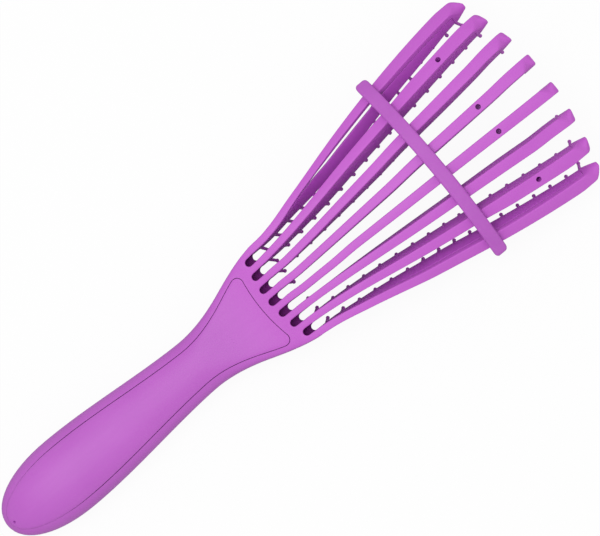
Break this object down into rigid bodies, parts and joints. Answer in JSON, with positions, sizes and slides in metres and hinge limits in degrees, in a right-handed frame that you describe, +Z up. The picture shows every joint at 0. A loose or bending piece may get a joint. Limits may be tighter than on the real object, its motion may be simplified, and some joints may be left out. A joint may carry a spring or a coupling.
{
  "type": "detangling brush",
  "caption": "Fan-shaped detangling brush: a hollow handle spreads into sprung arms over an arch, each with a row of ball-ended pins, joined by a soft strap across their backs.",
  "frame": {"origin": "on the surface that the brush lies on, pins down, under the middle of its box", "axes": "+X along the brush from the handle to the arm tips, +Y towards arm_1, +Z up out of the back"},
  "size_m": [0.24, 0.0796, 0.0298],
  "materials": {
    "shell_plastic": "satin light purple moulded plastic",
    "comb_plastic": "satin light purple moulded plastic",
    "soft_strap": "soft matte light purple"
  },
  "bodies": {
    "handle": {"handle_body": "shell_plastic", "back_cover": "shell_plastic", "comb_root": "comb_plastic"},
    "arm_1": {"arm_1": "shell_plastic", "pin_strip_1": "comb_plastic"},
    "arm_2": {"arm_2": "shell_plastic", "pin_strip_2": "comb_plastic"},
    "arm_3": {"arm_3": "shell_plastic", "pin_strip_3": "comb_plastic"},
    "arm_4": {"arm_4": "shell_plastic", "pin_strip_4": "comb_plastic"},
    "arm_5": {"arm_5": "shell_plastic", "pin_strip_5": "comb_plastic"},
    "arm_6": {"arm_6": "shell_plastic", "pin_strip_6": "comb_plastic"},
    "arm_7": {"arm_7": "shell_plastic", "pin_strip_7": "comb_plastic"},
    "arm_8": {"arm_8": "shell_plastic", "pin_strip_8": "comb_plastic"},
    "strap": {"strap": "soft_strap"}
  },
  "joints": [
    {"name": "arm_1_flex", "type": "hinge", "parent": "handle", "child": "arm_1", "pos_m": [0.00415, 0.01821, 0.01465], "axis": [0, 0, 1], "range_deg": [-2, 2], "stiffness_Nm_per_rad": 0.9, "deforming": ["strap"]},
    {"name": "arm_2_flex", "type": "hinge", "parent": "handle", "child": "arm_2", "pos_m": [0.00415, 0.01301, 0.01474], "axis": [0, 0, 1], "range_deg": [-2, 2], "stiffness_Nm_per_rad": 0.9, "deforming": ["strap"]},
    {"name": "arm_3_flex", "type": "hinge", "parent": "handle", "child": "arm_3", "pos_m": [0.00415, 0.00781, 0.01479], "axis": [0, 0, 1], "range_deg": [-2, 2], "stiffness_Nm_per_rad": 0.9, "deforming": ["strap"]},
    {"name": "arm_4_flex", "type": "hinge", "parent": "handle", "child": "arm_4", "pos_m": [0.00415, 0.0026, 0.01481], "axis": [0, 0, 1], "range_deg": [-2, 2], "stiffness_Nm_per_rad": 0.9, "deforming": ["strap"]},
    {"name": "arm_5_flex", "type": "hinge", "parent": "handle", "child": "arm_5", "pos_m": [0.00415, -0.0026, 0.01481], "axis": [0, 0, 1], "range_deg": [-2, 2], "stiffness_Nm_per_rad": 0.9, "deforming": ["strap"]},
    {"name": "arm_6_flex", "type": "hinge", "parent": "handle", "child": "arm_6", "pos_m": [0.00415, -0.00781, 0.01479], "axis": [0, 0, 1], "range_deg": [-2, 2], "stiffness_Nm_per_rad": 0.9, "deforming": ["strap"]},
    {"name": "arm_7_flex", "type": "hinge", "parent": "handle", "child": "arm_7", "pos_m": [0.00415, -0.01301, 0.01474], "axis": [0, 0, 1], "range_deg": [-2, 2], "stiffness_Nm_per_rad": 0.9, "deforming": ["strap"]},
    {"name": "arm_8_flex", "type": "hinge", "parent": "handle", "child": "arm_8", "pos_m": [0.00415, -0.01821, 0.01465], "axis": [0, 0, 1], "range_deg": [-2, 2], "stiffness_Nm_per_rad": 0.9, "deforming": ["strap"]},
    {"name": "strap_lift", "type": "slide", "parent": "handle", "child": "strap", "axis": [0, 0, 1], "range_m": [0, 0.012]}
  ]
}
